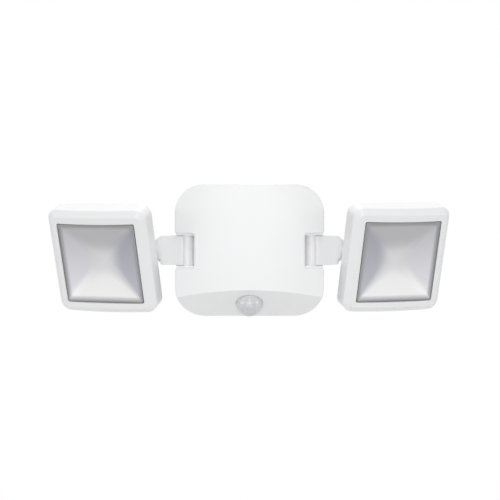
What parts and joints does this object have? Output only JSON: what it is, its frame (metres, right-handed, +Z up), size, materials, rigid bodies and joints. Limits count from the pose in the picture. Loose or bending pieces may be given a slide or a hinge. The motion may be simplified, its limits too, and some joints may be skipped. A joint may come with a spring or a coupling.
{
  "type": "motion sensor security light",
  "caption": "Wall-mounted security light: rounded box with a slanted motion sensor face and a bevelled square lamp head on a pivoting arm at each side.",
  "frame": {"origin": "centre of the wall bracket's rear face, which lies on the wall", "axes": "+Y into the wall, so the light looks along -Y; +Z up; +X to the right as seen from the front"},
  "size_m": [0.3763, 0.0901, 0.1272],
  "materials": {
    "white_shell": "fine satin moulding, white",
    "diffuser_satin": "frosted, pale grey",
    "lens_milk": "milky thin polyethylene",
    "tray_white": "smooth white",
    "black_plastic": "satin black",
    "gasket": "soft matt black",
    "steel": "zinc-plated",
    "spring_steel": "nickel-plated strip",
    "sensor_can": "plated can",
    "cell_can": "plain printed sleeve, dark grey",
    "board_green": "green solder mask",
    "board_white": "white solder mask on aluminium",
    "component_black": "moulded black",
    "led_yellow": "phosphor-coated chip",
    "lead_black": "black sheath"
  },
  "bodies": {
    "housing": {"front_housing": "white_shell", "housing_gasket": "gasket", "rear_cover": "white_shell", "housing_screws": "steel", "battery_door": "white_shell", "battery_door_gasket": "gasket", "battery_door_screws": "steel", "battery_cells": "cell_can", "battery_contacts": "spring_steel", "control_board": "board_green", "board_components": "component_black", "sensor_board": "board_green", "motion_sensor": "sensor_can", "sensor_lens": "lens_milk", "lens_clip": "black_plastic", "mode_switch_body": "black_plastic", "wall_bracket": "white_shell", "bracket_lock_screw": "steel", "left_yaw_pin": "steel", "right_yaw_pin": "steel", "left_yaw_washers": "black_plastic", "right_yaw_washers": "black_plastic"},
    "mode_switch": {"mode_switch_slider": "black_plastic"},
    "left_arm_body": {"left_arm": "white_shell", "left_arm_cover": "white_shell", "left_arm_screws": "steel", "left_arm_lead": "lead_black", "left_tilt_washers": "steel", "left_tilt_screw": "steel"},
    "left_head_body": {"left_head_housing": "white_shell", "left_head_back": "white_shell", "left_head_gasket": "gasket", "left_head_screws": "steel", "left_diffuser": "diffuser_satin", "left_light_tray": "tray_white", "left_led_board": "board_white", "left_leds": "led_yellow"},
    "right_arm_body": {"right_arm": "white_shell", "right_arm_cover": "white_shell", "right_arm_screws": "steel", "right_arm_lead": "lead_black", "right_tilt_washers": "steel", "right_tilt_screw": "steel"},
    "right_head_body": {"right_head_housing": "white_shell", "right_head_back": "white_shell", "right_head_gasket": "gasket", "right_head_screws": "steel", "right_diffuser": "diffuser_satin", "right_light_tray": "tray_white", "right_led_board": "board_white", "right_leds": "led_yellow"}
  },
  "joints": [
    {"name": "left_arm_yaw", "type": "hinge", "parent": "housing", "child": "left_arm_body", "pos_m": [-0.0583, -0.05479, 0], "axis": [0, 0, 1], "range_deg": [-7.4, 77.6]},
    {"name": "right_arm_yaw", "type": "hinge", "parent": "housing", "child": "right_arm_body", "pos_m": [0.0583, -0.05479, 0], "axis": [0, 0, -1], "range_deg": [-5.5, 79.5]},
    {"name": "left_head_tilt", "type": "hinge", "parent": "left_arm_body", "child": "left_head_body", "pos_m": [-0.12931, -0.03226, 0], "axis": [0.9532, -0.3024, 0], "range_deg": [-34, 41]},
    {"name": "right_head_tilt", "type": "hinge", "parent": "right_arm_body", "child": "right_head_body", "pos_m": [0.12853, -0.02992, 0], "axis": [0.9426, 0.3338, 0], "range_deg": [-31.3, 43.7]},
    {"name": "mode_switch_slide", "type": "slide", "parent": "housing", "child": "mode_switch", "axis": [1, 0, 0], "range_m": [0, 0.006]}
  ]
}
